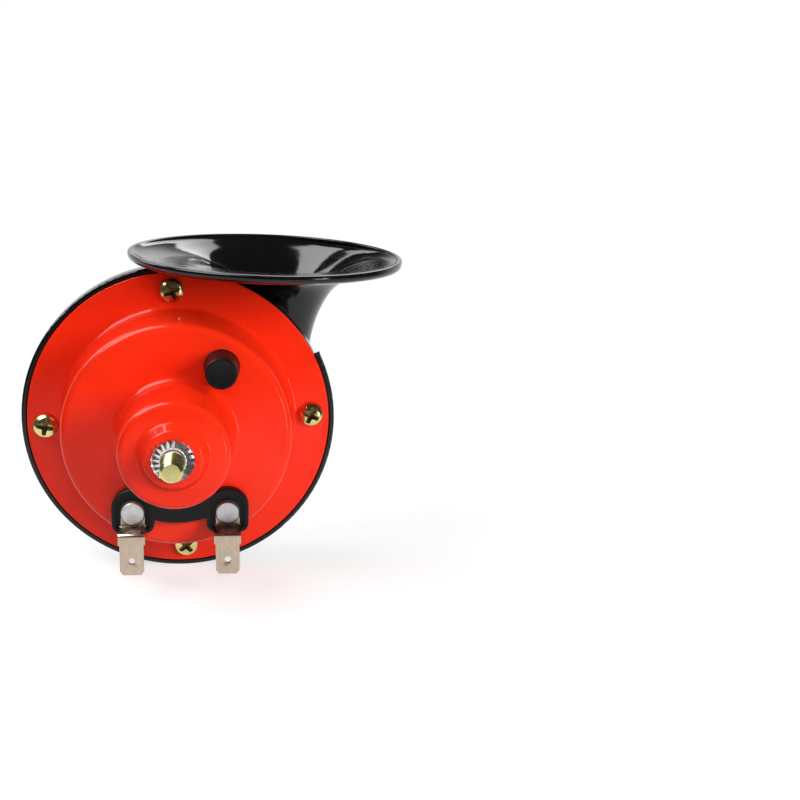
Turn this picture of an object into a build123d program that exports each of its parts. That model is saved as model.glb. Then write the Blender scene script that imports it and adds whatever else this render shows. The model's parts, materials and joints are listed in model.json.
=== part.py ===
from build123d import *
import math
import os

# Electric snail horn, 12 V, for a road vehicle.  Millimetres.
# Frame: origin on the stud axis where the thread starts, just in front of the lock washer.
# -Y points forward, out of the horn along the stud; +Z is up; the bell opens upwards.
# Every depth below is a Y value, so it grows from the stud towards the snail.

# ---------------------------------------------------------------- driving dimensions
# pressed cover
PAD_R = 7.4
PAD_SPREAD = 1.8
PAD_HEIGHT = 3.0
BOSS_R = 14.4
BOSS_SPREAD = 0.8
BOSS_HEIGHT = 18.2
DRUM_R = 30.6
DRUM_SPREAD = 0.8
DRUM_HEIGHT = 17.3
FLANGE_WIDTH = 10.0
SHEET = 1.0
PAD_EDGE = 1.0
PAD_FOOT_EDGE = 1.1
BOSS_EDGE = 1.8
BOSS_FOOT_EDGE = 2.2
DRUM_EDGE = 2.0
DRUM_FOOT_EDGE = 1.4

# clamped stack behind the cover flange
GASKET = 0.4
DIAPHRAGM = 0.3
PLATE = 2.0
PLATE_DISH = 1.0
PLATE_WEB = 1.6
STACK_SETBACK = 0.2
RIVET_ROOM = 1.0

# moulded housing
RIM_WIDTH = 1.6
RIM_DEPTH = 5.2
RIM_REACH = 0.5
BODY_DEPTH = 14.0
HOUSING_WALL = 2.2
BODY_EDGE = 4.0
RIM_EDGE = 0.5
PANEL_DEPTH = 0.4
PANEL_CORNER = 1.5
RIM_GAP_FROM = 25.0
RIM_GAP_TO = 97.0

# sound channel
PIPE_R = 4.3
PIPE_BORE_R = 2.7
CHANNEL_WALL = 1.8
MOUTH_TILT = 1.6
MOUTH_EDGE = 0.4

# screws that hold the cover
SCREW_COUNT = 4
SCREW_EDGE = 5.0
SCREW_START = 2.2
SCREW_R = 1.9
SCREW_LENGTH = 9.5
SCREW_HEAD_R = 3.5
SCREW_HEAD = 2.3
SCREW_HEAD_ROUND = 1.4
SCREW_POST_R = 3.7
SCREW_FIRST_TURN = 25.0
SCREW_NEXT_TURN = 38.0
SLOT_WIDTH = 0.9
SLOT_LENGTH = 4.2
SLOT_DEPTH = 1.4

# stud and electromagnet
STUD_R = 2.95
STUD_NECK_R = 2.5
STUD_REACH = 10.7
SEAT_DEPTH = 1.9
STUD_CHAMFER = 0.5
COLLAR_R = 6.0
CORE_R = 5.0
BOBBIN_ROOM = 0.9
BOBBIN_LENGTH = 20.0
BOBBIN_WALL = 0.9
WINDING_SETBACK = 0.5
RETAINER_R = 7.5
RETAINER = 0.8
AIR_GAP = 1.2
ARMATURE_R = 11.0
ARMATURE = 1.6
STEM_R = 4.0
STEM_TAIL_R = 2.4
STEM_RIVET = 0.6
BACKING_R = 5.0
BACKING = 0.4

# star lock washer under the bracket
WASHER_R = 5.4
WASHER_BAND = 0.9
WASHER_SHEET = 0.45
WASHER_TOOTH = 1.75
WASHER_TEETH = 20
WASHER_TWIST = 52.0

# terminals
TERMINAL_PITCH = 25.2
TERMINAL_OFFSET = 0.7
TERMINAL_GAP = 2.9
BLADE_WIDTH = 6.3
BLADE_SHEET = 0.8
BLADE_SHOULDER = 7.1
BLADE_SHOULDER_DROP = 2.2
BLADE_NECK = 0.2
BLADE_LEDGE = 6.2
BLADE_BEND = 0.96
BLADE_TIP_DROP = 15.3
BLADE_TIP_ROUND = 0.2
BLADE_POINT_WIDTH = 0.8
BLADE_POINT_LENGTH = 1.2
BLADE_HOLE_R = 0.9
BLADE_HOLE_DROP = 11.3
BLADE_TOP = 3.4
RIVET_HEAD_R = 3.0
RIVET_HEAD = 0.8
RIVET_EDGE = 0.25
RIVET_R = 1.5
RIVET_TAIL_R = 2.6

# terminal insulators
LOBE_WIDTH = 11.3
LOBE_TOP_RISE = 6.5
LOBE_FOOT_DROP = 6.0
LOBE_CORNER = 2.6
LOBE_LIP = 1.1
LOBE_EDGE = 0.5
BAND_WIDTH = 6.0
BAND_HALF_ANGLE = 36.0
OUTER_INSULATOR = 2.6
POCKET = 0.7
INNER_INSULATOR = 1.2
INNER_INSET = 2.2
BUSH_R = 2.6

# pitch adjuster
ADJUSTER_ANGLE = 57.8
ADJUSTER_GAP = 0.55
ADJUSTER_R = 1.45
ADJUSTER_BUSH_R = 2.5
ADJUSTER_BUSH_RISE = 2.4
ADJUSTER_BUSH_FLANGE_R = 4.0
ADJUSTER_BUSH_FLANGE = 1.0
ADJUSTER_RISE = 4.4
ADJUSTER_SLOT_WIDTH = 0.54
ADJUSTER_SLOT_DEPTH = 1.0
CAP_FOOT_R = 4.75
CAP_TOP_R = 4.15
CAP_HEIGHT = 8.7
CAP_BORE = 5.6
CAP_EDGE = 0.7
CAP_FOOT_EDGE = 0.2

# contact breaker
BREAKER_DROP = 1.2
BREAKER_WIDTH = 7.0
BREAKER_LEFT_X = -12.5
BREAKER_BLOCK = 9.0
BRACKET_FOOT = 5.0
BRACKET_SHEET = 1.0
BRACKET_RISE = 3.8
FIBRE = 1.0
FIXED_STRIP = 0.8
FIXED_STRIP_TAIL = 2.9
MOVING_STRIP = 0.4
MOVING_STRIP_LENGTH = 20.5
FINGER_WIDTH = 6.0
FINGER_TIP_Z = 7.0
CONTACT_R = 1.8
CONTACT = 0.5
CONTACT_X = 4.5
PIP_R = 1.4
PIP_LENGTH = 0.7
PIP_Z = 8.8
PIP_GAP = 0.3
BREAKER_RIVET_R = 1.0
BREAKER_RIVET_HEAD_R = 1.9
BREAKER_RIVET_HEAD = 0.6
BREAKER_RIVET_PITCH = 4.0

# fits
HOLE_CLEARANCE = 0.3
PRESS_CLEARANCE = 0.05
RIM_CLEARANCE = 0.3
WASHER_CLEARANCE = 0.2

# ---------------------------------------------------------------- sizes across
PAD_FOOT_R = PAD_R + PAD_SPREAD
BOSS_FOOT_R = BOSS_R + BOSS_SPREAD
BOSS_FOOT_CLEAR_R = BOSS_FOOT_R + BOSS_FOOT_EDGE
DRUM_FOOT_R = DRUM_R + DRUM_SPREAD
FLANGE_R = DRUM_FOOT_R + FLANGE_WIDTH
STACK_R = FLANGE_R - STACK_SETBACK
RIM_R = FLANGE_R + RIM_WIDTH
SCREW_CIRCLE_R = FLANGE_R - SCREW_EDGE
BOBBIN_FLANGE_R = BOSS_R - SHEET - BOBBIN_ROOM
WINDING_R = BOBBIN_FLANGE_R - WINDING_SETBACK
BAND_OUTER_R = BOSS_FOOT_CLEAR_R + BAND_WIDTH
TERMINAL_Z = -(BOSS_FOOT_CLEAR_R + TERMINAL_GAP)
LOBE_TOP_Z = TERMINAL_Z + LOBE_TOP_RISE
LOBE_FOOT_Z = TERMINAL_Z - LOBE_FOOT_DROP
BLADE_TIP_Z = TERMINAL_Z - BLADE_TIP_DROP
BLADE_HOLE_Z = TERMINAL_Z - BLADE_HOLE_DROP
ADJUSTER_CIRCLE_R = BOSS_FOOT_CLEAR_R + CAP_FOOT_R + ADJUSTER_GAP
ADJUSTER_X = ADJUSTER_CIRCLE_R * math.cos(math.radians(ADJUSTER_ANGLE))
ADJUSTER_Z = ADJUSTER_CIRCLE_R * math.sin(math.radians(ADJUSTER_ANGLE))
BREAKER_Z = ADJUSTER_Z - BREAKER_DROP

# ---------------------------------------------------------------- depths from the stack
THREAD_Y = 0.0
SEAT_Y = THREAD_Y + SEAT_DEPTH
BOSS_Y = SEAT_Y + PAD_HEIGHT
DRUM_Y = BOSS_Y + BOSS_HEIGHT
FLANGE_Y = DRUM_Y + DRUM_HEIGHT
FRONT_GASKET_Y = FLANGE_Y + SHEET
DIAPHRAGM_Y = FRONT_GASKET_Y + GASKET
REAR_GASKET_Y = DIAPHRAGM_Y + DIAPHRAGM
PLATE_Y = REAR_GASKET_Y + GASKET
BODY_Y = PLATE_Y + PLATE
BACK_Y = FLANGE_Y + BODY_DEPTH
DRUM_INSIDE_Y = DRUM_Y + SHEET
BOSS_INSIDE_Y = BOSS_Y + SHEET
STRIP_Y = DRUM_INSIDE_Y + BRACKET_RISE + BRACKET_SHEET + FIBRE
SPRING_Y = STRIP_Y + FIXED_STRIP + 2 * CONTACT
PIP_Y = SPRING_Y + MOVING_STRIP
ARMATURE_Y = PIP_Y + PIP_LENGTH + PIP_GAP
POLE_Y = ARMATURE_Y - AIR_GAP

os.makedirs("parts", exist_ok=True)


# ---------------------------------------------------------------- helpers
def rod(radius, front, back, x=0.0, z=0.0):
    """A round bar along Y between two depths."""
    bar = Cylinder(radius, back - front)
    return Pos(x, (front + back) / 2, z) * Rot(90, 0, 0) * bar


def ring(outer, inner, front, back, x=0.0, z=0.0):
    """A washer-shaped ring along Y."""
    return rod(outer, front, back, x, z) - rod(inner, front - 1, back + 1, x, z)


def slab(left, right, front, back, low, high):
    """A block between its six faces."""
    size = Box(right - left, back - front, high - low)
    return Pos((left + right) / 2, (front + back) / 2, (low + high) / 2) * size


def pressed(outline, front, back):
    """A flat outline drawn in X and Z, made solid between two depths."""
    plane = Plane((0, back, 0), x_dir=(1, 0, 0), z_dir=(0, -1, 0))
    return extrude(plane * outline, amount=back - front)


def spin(outline):
    """Turn a closed outline of (radius, depth) about the stud axis."""
    return revolve(make_face(outline), axis=Axis.Y, revolution_arc=360)


def screw_places():
    """The (x, z) of each cover screw."""
    for index in range(SCREW_COUNT):
        angle = math.radians(SCREW_START + 360 * index / SCREW_COUNT)
        yield SCREW_CIRCLE_R * math.cos(angle), SCREW_CIRCLE_R * math.sin(angle)


def drilled(body, radius, front, back):
    """Drill the screw pattern through a body."""
    for x, z in screw_places():
        body -= rod(radius, front, back, x, z)
    return body


def terminal_x(side):
    """The X of one terminal; side is -1 or 1."""
    return TERMINAL_OFFSET + side * TERMINAL_PITCH / 2


def save(shape, name):
    """Write one sub-part as parts/NAME.step."""
    shape.label = name
    export_step(shape, f"parts/{name}.step")


# ---------------------------------------------------------------- pressed cover
def cover_line(inset):
    """Cover section from the axis to the flange edge, moved inwards by inset."""
    points = [
        (0, SEAT_Y + inset),
        (PAD_R - inset / 2, SEAT_Y + inset),
        (PAD_FOOT_R - inset / 2, BOSS_Y + inset),
        (BOSS_R - inset, BOSS_Y + inset),
        (BOSS_FOOT_R - inset, DRUM_Y + inset),
        (DRUM_R - inset, DRUM_Y + inset),
        (DRUM_FOOT_R - inset, FLANGE_Y + inset),
        (FLANGE_R, FLANGE_Y + inset),
    ]
    radii = [
        PAD_EDGE,
        PAD_FOOT_EDGE,
        BOSS_EDGE - inset,
        BOSS_FOOT_EDGE + inset,
        DRUM_EDGE - inset,
        DRUM_FOOT_EDGE + inset,
    ]
    return FilletPolyline(*points, radius=radii)


def make_cover():
    outside = cover_line(0.0)
    inside = cover_line(SHEET)
    axis_side = Line(outside @ 0, inside @ 0)
    edge_side = Line(outside @ 1, inside @ 1)
    cover = spin(Curve() + [outside, inside, axis_side, edge_side])
    cover = drilled(cover, SCREW_R + HOLE_CLEARANCE, FLANGE_Y - 1, FRONT_GASKET_Y + 1)
    cover -= rod(STUD_R + HOLE_CLEARANCE, SEAT_Y - 1, SEAT_Y + SHEET + 1)
    hole_front = DRUM_Y - 1
    hole_back = DRUM_INSIDE_Y + 1
    cover -= rod(ADJUSTER_BUSH_R + PRESS_CLEARANCE, hole_front, hole_back, ADJUSTER_X, ADJUSTER_Z)
    for side in (-1, 1):
        cover -= rod(BUSH_R + PRESS_CLEARANCE, hole_front, hole_back, terminal_x(side), TERMINAL_Z)
    return cover


# ---------------------------------------------------------------- clamped stack
def make_gasket(front):
    gasket = ring(STACK_R, DRUM_FOOT_R, front, front + GASKET)
    return drilled(gasket, SCREW_R + HOLE_CLEARANCE, front - 1, front + GASKET + 1)


def make_diaphragm():
    disc = ring(STACK_R, STEM_TAIL_R + PRESS_CLEARANCE, DIAPHRAGM_Y, REAR_GASKET_Y)
    return drilled(disc, SCREW_R + HOLE_CLEARANCE, DIAPHRAGM_Y - 1, REAR_GASKET_Y + 1)


def make_throat_plate():
    """Plate that closes the snail; dished so that the diaphragm swings clear of it."""
    dish_r = DRUM_FOOT_R
    web_back = PLATE_Y + PLATE_DISH + PLATE_WEB
    plate = rod(STACK_R, PLATE_Y, BODY_Y)
    plate += rod(dish_r, BODY_Y, web_back)
    plate -= rod(dish_r - PLATE_WEB, PLATE_Y - 1, PLATE_Y + PLATE_DISH)
    rivet_room = PLATE_Y + PLATE_DISH + STEM_RIVET
    plate -= rod(BACKING_R + RIVET_ROOM, PLATE_Y, rivet_room)
    plate -= rod(PIPE_BORE_R, PLATE_Y, web_back + 1)
    return drilled(plate, SCREW_R + HOLE_CLEARANCE, PLATE_Y - 1, BODY_Y + 1)


# ---------------------------------------------------------------- moulded snail housing
PIPE_Y = BACK_Y - PIPE_R
PIPE_CORNERS = [(0, 0), (0, 14), (-27, 14), (-27, -28.5), (-15, -28.5)]
PIPE_BENDS = [6.0, 10.0, 9.0]

# growing tube: x, z of its centre line, outer radius, crest measured back from the flange
TUBE_STATIONS = [
    (-19.0, -28.5, PIPE_R, BODY_DEPTH),
    (-12.5, -29.3, 5.1, 16.4),
    (-4.0, -29.9, 5.8, 18.9),
    (3.5, -29.0, 6.5, 21.0),
    (10.5, -25.6, 7.4, 23.3),
    (17.0, -19.6, 8.3, 25.5),
    (21.6, -11.0, 9.3, 27.4),
    (23.7, -1.0, 10.5, 29.0),
    (24.3, 10.0, 11.6, 30.5),
]

# bell: height above the top of the flange, then its outside left and right,
# and its outside front and rear measured back from the flange
BELL_STATIONS = [
    (-20.4, 12.3, 37.5, 6.5, 31.7),
    (-14.9, 12.2, 39.2, 5.8, 32.2),
    (-10.4, 11.6, 41.4, 4.8, 32.8),
    (-6.9, 10.6, 44.0, 3.4, 33.4),
    (-4.4, 9.3, 47.2, 1.5, 34.0),
    (-2.4, 7.5, 50.4, -1.9, 34.7),
    (-0.8, 4.6, 53.3, -7.5, 35.4),
    (0.6, -0.6, 56.4, -16.9, 36.3),
    (2.0, -7.6, 59.2, -28.1, 37.3),
    (3.8, -13.0, 61.0, -36.0, 38.0),
    (5.1, -13.0, 61.0, -36.0, 38.0),
]
MOUTH_MARGIN = 3.0

# barrel-shaped panel on the flat back: each end's height, left and right, then the waist
PANEL_TOP = (27.6, -16.3, 4.0)
PANEL_FOOT = (-17.1, -20.4, 2.9)
PANEL_WAIST = (5.0, -25.3, 9.3)


def tube_sections(inset):
    """Round sections of the growing tube, square to its centre line."""
    centres = [Vector(x, FLANGE_Y + crest - r, z) for x, z, r, crest in TUBE_STATIONS]
    last = len(centres) - 1
    for index, (x, z, radius, crest) in enumerate(TUBE_STATIONS):
        way = centres[min(index + 1, last)] - centres[max(index - 1, 0)]
        if index == 0:
            way = Vector(1, 0, 0)
        if index == last:
            way = Vector(0, 0, 1)
        across = Vector(0, 1, 0) - way * (way.Y / way.dot(way))
        yield Plane(centres[index], x_dir=across, z_dir=way) * Circle(radius - inset)


def bell_sections(inset):
    """Oval sections of the bell; inset moves them square to the flaring wall."""
    heights = [FLANGE_R + station[0] for station in BELL_STATIONS]
    means = [(s[2] - s[1] + s[4] - s[3]) / 4 for s in BELL_STATIONS]
    last = len(means) - 1
    for index, (rise_above, left, right, front, rear) in enumerate(BELL_STATIONS):
        low = max(index - 1, 0)
        high = min(index + 1, last)
        rise = heights[high] - heights[low]
        spread = means[high] - means[low]
        slope = math.hypot(rise, spread)
        narrower = inset * rise / slope
        higher = inset * spread / slope
        if index == last and inset > 0:
            higher = MOUTH_MARGIN
        opened = (means[index] - means[0]) / (means[last] - means[0])
        lean = math.radians(MOUTH_TILT * opened)
        depth = FLANGE_Y + (front + rear) / 2
        centre = ((left + right) / 2, depth, heights[index] + higher)
        plane = Plane(centre, x_dir=(0, 1, 0), z_dir=(math.sin(lean), 0, math.cos(lean)))
        depth_r = (rear - front) / 2 - narrower
        width_r = (right - left) / 2 - narrower
        yield plane * Ellipse(depth_r, width_r)


def horn_solid(inset):
    """The growing tube and the bell as one smooth solid, reduced by inset all round."""
    return loft(list(tube_sections(inset)) + list(bell_sections(inset)))


def pipe_solid(radius, front):
    """The first turn of the channel, from the throat out to the growing tube."""
    route = FilletPolyline(*PIPE_CORNERS, radius=PIPE_BENDS)
    path = Plane((0, PIPE_Y, 0), x_dir=(1, 0, 0), z_dir=(0, -1, 0)) * route
    start = Plane(path @ 0, x_dir=(0, 1, 0), z_dir=path % 0)
    pipe = sweep(start * Circle(radius), path=path)
    pipe += Pos(0, PIPE_Y, 0) * Sphere(radius)
    return pipe + rod(radius, front, PIPE_Y)


def housing_cup():
    """Round body of the housing in one turned section: wall, flat back and rim."""
    rim_front = FLANGE_Y + RIM_REACH
    rim_back = rim_front + RIM_DEPTH
    wall_r = FLANGE_R - HOUSING_WALL
    lip_r = FLANGE_R + RIM_CLEARANCE
    outside = FilletPolyline(
        (0, BACK_Y),
        (FLANGE_R, BACK_Y),
        (FLANGE_R, rim_back),
        (RIM_R, rim_back),
        (RIM_R, rim_front),
        (lip_r, rim_front),
        (lip_r, BODY_Y),
        radius=[BODY_EDGE, RIM_EDGE, RIM_EDGE, RIM_EDGE, RIM_EDGE / 2],
    )
    inside = Polyline(
        (lip_r, BODY_Y),
        (wall_r, BODY_Y),
        (wall_r, BACK_Y - HOUSING_WALL),
        (0, BACK_Y - HOUSING_WALL),
        (0, BACK_Y),
    )
    return spin(Curve() + [outside, inside])


def rim_gap():
    """The arc of rim that is left off where the neck of the bell passes."""
    reach = 2 * RIM_R
    middle = (RIM_GAP_FROM + RIM_GAP_TO) / 2
    corners = [(0, 0)]
    for angle in (RIM_GAP_FROM, middle, RIM_GAP_TO):
        corners.append((reach * math.cos(math.radians(angle)), reach * math.sin(math.radians(angle))))
    front = FLANGE_Y - 1
    back = FLANGE_Y + RIM_REACH + RIM_DEPTH + RIM_EDGE
    sector = pressed(make_face(Polyline(*corners, close=True)), front, back)
    return sector & ring(RIM_R + 1, FLANGE_R, front, back)


def panel_recess():
    """Shallow barrel-shaped recess in the flat back."""
    top, top_left, top_right = PANEL_TOP
    foot, foot_left, foot_right = PANEL_FOOT
    waist, waist_left, waist_right = PANEL_WAIST
    outline = Curve() + [
        Line((top_left, top), (top_right, top)),
        ThreePointArc((top_right, top), (waist_right, waist), (foot_right, foot)),
        Line((foot_right, foot), (foot_left, foot)),
        ThreePointArc((foot_left, foot), (waist_left, waist), (top_left, top)),
    ]
    panel = make_face(outline)
    panel = fillet(panel.vertices(), PANEL_CORNER)
    return pressed(panel, BACK_Y - PANEL_DEPTH, BACK_Y + 1)


def is_mouth_edge(edge):
    """True for the two long edges of the bell's lip."""
    return edge.center().Z > FLANGE_R and edge.length > math.pi * FLANGE_R


def make_housing():
    housing = housing_cup() - rim_gap()
    for x, z in screw_places():
        housing += rod(SCREW_POST_R, BODY_Y, BACK_Y - HOUSING_WALL / 2, x, z)
    housing += horn_solid(0.0)
    housing += pipe_solid(PIPE_R, PLATE_Y + PLATE_DISH + PLATE_WEB)
    housing -= rod(FLANGE_R + RIM_CLEARANCE, FLANGE_Y - 1, BODY_Y)
    housing -= rod(DRUM_FOOT_R + PRESS_CLEARANCE, BODY_Y - 1, PLATE_Y + PLATE_DISH + PLATE_WEB)
    housing -= horn_solid(CHANNEL_WALL)
    housing -= pipe_solid(PIPE_BORE_R, BODY_Y - 1)
    pilot = SCREW_R + PRESS_CLEARANCE
    housing = drilled(housing, pilot, BODY_Y - 1, FLANGE_Y + SCREW_LENGTH + HOLE_CLEARANCE)
    housing -= panel_recess()
    return fillet(housing.edges().filter_by(is_mouth_edge), MOUTH_EDGE)


# ---------------------------------------------------------------- cover screws
def make_cover_screws():
    """Four pan-head screws with cross recesses, each turned to where it stopped."""
    screws = []
    front = FLANGE_Y - SCREW_HEAD
    for index, (x, z) in enumerate(screw_places()):
        head = rod(SCREW_HEAD_R, front, FLANGE_Y)
        head = fillet(head.edges().sort_by(Axis.Y)[0], SCREW_HEAD_ROUND)
        screw = head + rod(SCREW_R, FLANGE_Y, FLANGE_Y + SCREW_LENGTH)
        half = SLOT_LENGTH / 2
        slot = slab(-half, half, front - 1, front + SLOT_DEPTH, -SLOT_WIDTH / 2, SLOT_WIDTH / 2)
        screw -= slot
        screw -= Rot(0, 90, 0) * slot
        turn = SCREW_FIRST_TURN + SCREW_NEXT_TURN * index
        screws.append(Pos(x, 0, z) * Rot(0, turn, 0) * screw)
    return Compound(children=screws)


# ---------------------------------------------------------------- stud and electromagnet
def make_stud():
    """Magnet core with its collar and the threaded stud, turned in one piece."""
    stud = rod(STUD_R, SEAT_Y - STUD_REACH, THREAD_Y)
    stud = chamfer(stud.edges().sort_by(Axis.Y)[0], STUD_CHAMFER)
    stud += rod(STUD_NECK_R, THREAD_Y, SEAT_Y + SHEET)
    stud += rod(COLLAR_R, SEAT_Y + SHEET, BOSS_INSIDE_Y)
    return stud + rod(CORE_R, BOSS_INSIDE_Y, POLE_Y)


def make_star_washer():
    """Lock washer: a narrow band with teeth twisted out of its plane."""
    twist = math.radians(WASHER_TWIST)
    half = (WASHER_TOOTH * math.sin(twist) + WASHER_SHEET * math.cos(twist)) / 2
    middle = SEAT_Y - half - PRESS_CLEARANCE
    bore = STUD_R + WASHER_CLEARANCE
    band = ring(bore + WASHER_BAND, bore, middle - WASHER_SHEET / 2, middle + WASHER_SHEET / 2)
    root = bore + WASHER_BAND / 2
    tooth = Box(WASHER_R - root, WASHER_SHEET, WASHER_TOOTH)
    tooth = Pos((WASHER_R + root) / 2, 0, 0) * Rot(WASHER_TWIST, 0, 0) * tooth
    washer = band
    for index in range(WASHER_TEETH):
        washer += Pos(0, middle, 0) * Rot(0, 360 * index / WASHER_TEETH, 0) * tooth
    return washer - rod(bore, middle - half - 1, middle + half + 1)


def make_bobbin():
    front = BOSS_INSIDE_Y
    back = front + BOBBIN_LENGTH
    bore = CORE_R + PRESS_CLEARANCE
    barrel = bore + BOBBIN_WALL
    bobbin = ring(barrel, bore, front, back)
    bobbin += ring(BOBBIN_FLANGE_R, bore, front, front + BOBBIN_WALL)
    return bobbin + ring(BOBBIN_FLANGE_R, bore, back - BOBBIN_WALL, back)


def make_winding():
    front = BOSS_INSIDE_Y + BOBBIN_WALL
    back = BOSS_INSIDE_Y + BOBBIN_LENGTH - BOBBIN_WALL
    return ring(WINDING_R, CORE_R + PRESS_CLEARANCE + BOBBIN_WALL, front, back)


def make_retainer():
    front = BOSS_INSIDE_Y + BOBBIN_LENGTH
    return ring(RETAINER_R, CORE_R, front, front + RETAINER)


def make_armature():
    """Disc that the magnet pulls, with the stem that carries it on the diaphragm."""
    back = ARMATURE_Y + ARMATURE
    armature = rod(ARMATURE_R, ARMATURE_Y, back)
    armature += rod(STEM_R, back, DIAPHRAGM_Y)
    tail_back = REAR_GASKET_Y + BACKING + STEM_RIVET
    armature += rod(STEM_TAIL_R, DIAPHRAGM_Y, tail_back)
    return armature


def make_backing_washer():
    bore = STEM_TAIL_R + PRESS_CLEARANCE
    return ring(BACKING_R, bore, REAR_GASKET_Y, REAR_GASKET_Y + BACKING)


# ---------------------------------------------------------------- terminals
BLADE_FOLD_Z = LOBE_FOOT_Z + LOBE_LIP + HOLE_CLEARANCE + BLADE_SHEET
BLADE_FRONT_Y = DRUM_Y - OUTER_INSULATOR + POCKET - BLADE_SHEET
BLADE_BACK_Y = BLADE_FRONT_Y + BLADE_SHEET
TAB_FRONT_Y = BLADE_BACK_Y - BLADE_LEDGE - BLADE_SHEET


def lobe(x, inset, corner):
    """Arched tongue of insulator around one terminal, reduced by inset."""
    half = LOBE_WIDTH / 2 - inset
    spring_z = LOBE_TOP_Z - LOBE_WIDTH / 2
    foot = LOBE_FOOT_Z + inset
    sides = FilletPolyline(
        (x - half, spring_z),
        (x - half, foot),
        (x + half, foot),
        (x + half, spring_z),
        radius=corner,
    )
    arch = ThreePointArc((x + half, spring_z), (x, spring_z + half), (x - half, spring_z))
    return make_face(Curve() + [sides, arch])


def insulator_outline(inset):
    """Two lobes joined by a band that follows the foot of the boss."""
    reach = 2 * BAND_OUTER_R
    side = reach * math.sin(math.radians(BAND_HALF_ANGLE))
    low = -reach * math.cos(math.radians(BAND_HALF_ANGLE))
    sector = make_face(Polyline((0, 0), (side, low), (-side, low), close=True))
    outline = Circle(BAND_OUTER_R - inset) & sector
    for side in (-1, 1):
        outline += lobe(terminal_x(side), inset, LOBE_CORNER)
    return outline - Circle(BOSS_FOOT_CLEAR_R + HOLE_CLEARANCE)


def make_terminal_insulator():
    front = DRUM_Y - OUTER_INSULATOR
    plate = pressed(insulator_outline(0.0), front, DRUM_Y)
    plate = fillet(plate.faces().sort_by(Axis.Y)[0].edges(), LOBE_EDGE)
    for side in (-1, 1):
        x = terminal_x(side)
        pocket = lobe(x, LOBE_LIP, LOBE_CORNER - LOBE_LIP)
        plate -= pressed(pocket, front - 1, front + POCKET)
        plate -= rod(RIVET_R + PRESS_CLEARANCE, front, DRUM_Y + 1, x, TERMINAL_Z)
    return plate


def make_inner_insulator():
    """Plate inside the drum, with a bush through each hole in the steel."""
    back = DRUM_INSIDE_Y + INNER_INSULATOR
    flat = Circle(DRUM_R - DRUM_EDGE - PRESS_CLEARANCE)
    plate = pressed(insulator_outline(INNER_INSET) & flat, DRUM_INSIDE_Y, back)
    for side in (-1, 1):
        x = terminal_x(side)
        plate += rod(BUSH_R, DRUM_Y, back, x, TERMINAL_Z)
        plate -= rod(RIVET_R + PRESS_CLEARANCE, DRUM_Y - 1, back + 1, x, TERMINAL_Z)
    return plate


def make_terminal(side):
    """Spade terminal: flat under the rivet, folded forward, then down to the tab."""
    x = terminal_x(side)
    top = TERMINAL_Z + BLADE_TOP
    tab_back = TAB_FRONT_Y + BLADE_SHEET
    ledge_foot = BLADE_FOLD_Z - BLADE_SHEET
    inner_bend = BLADE_BEND - BLADE_SHEET
    tip = BLADE_TIP_ROUND
    folded = FilletPolyline(
        (BLADE_FRONT_Y, top),
        (BLADE_FRONT_Y, BLADE_FOLD_Z),
        (TAB_FRONT_Y, BLADE_FOLD_Z),
        (TAB_FRONT_Y, BLADE_TIP_Z),
        (tab_back, BLADE_TIP_Z),
        (tab_back, ledge_foot),
        (BLADE_BACK_Y, ledge_foot),
        (BLADE_BACK_Y, top),
        radius=[inner_bend, BLADE_BEND, tip, tip, inner_bend, BLADE_BEND],
    )
    section = make_face(Curve() + [folded, Line(folded @ 1, folded @ 0)])
    side_plane = Plane((x - LOBE_WIDTH, 0, 0), x_dir=(0, 1, 0), z_dir=(1, 0, 0))
    strip = extrude(side_plane * section, amount=2 * LOBE_WIDTH)
    half = BLADE_WIDTH / 2
    shoulder = BLADE_SHOULDER / 2
    shoulder_top = BLADE_FOLD_Z + BLADE_NECK
    shoulder_foot = ledge_foot - BLADE_SHOULDER_DROP
    point = half - BLADE_POINT_WIDTH
    point_top = BLADE_TIP_Z + BLADE_POINT_LENGTH
    arch = ThreePointArc((x + half, top - half), (x, top), (x - half, top - half))
    edge = Polyline(
        (x - half, top - half),
        (x - half, shoulder_top + BLADE_NECK),
        (x - shoulder, shoulder_top),
        (x - shoulder, shoulder_foot),
        (x - half, shoulder_foot - BLADE_NECK),
        (x - half, point_top),
        (x - point, BLADE_TIP_Z),
        (x + point, BLADE_TIP_Z),
        (x + half, point_top),
        (x + half, shoulder_foot - BLADE_NECK),
        (x + shoulder, shoulder_foot),
        (x + shoulder, shoulder_top),
        (x + half, shoulder_top + BLADE_NECK),
        (x + half, top - half),
    )
    blank = pressed(make_face(Curve() + [arch, edge]), TAB_FRONT_Y - 1, BLADE_BACK_Y + 1)
    blade = strip & blank
    blade -= rod(BLADE_HOLE_R, TAB_FRONT_Y - 1, tab_back + 1, x, BLADE_HOLE_Z)
    return blade - rod(RIVET_R + PRESS_CLEARANCE, BLADE_FRONT_Y - 1, BLADE_BACK_Y + 1, x, TERMINAL_Z)


def make_terminal_rivets():
    inner_face = DRUM_INSIDE_Y + INNER_INSULATOR
    rivets = []
    for side in (-1, 1):
        x = terminal_x(side)
        rivet = rod(RIVET_HEAD_R, BLADE_FRONT_Y - RIVET_HEAD, BLADE_FRONT_Y, x, TERMINAL_Z)
        rivet = fillet(rivet.edges().sort_by(Axis.Y)[0], RIVET_EDGE)
        rivet += rod(RIVET_R, BLADE_FRONT_Y, inner_face, x, TERMINAL_Z)
        rivet += rod(RIVET_TAIL_R, inner_face, inner_face + RIVET_HEAD, x, TERMINAL_Z)
        rivets.append(rivet)
    return Compound(children=rivets)


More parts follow.
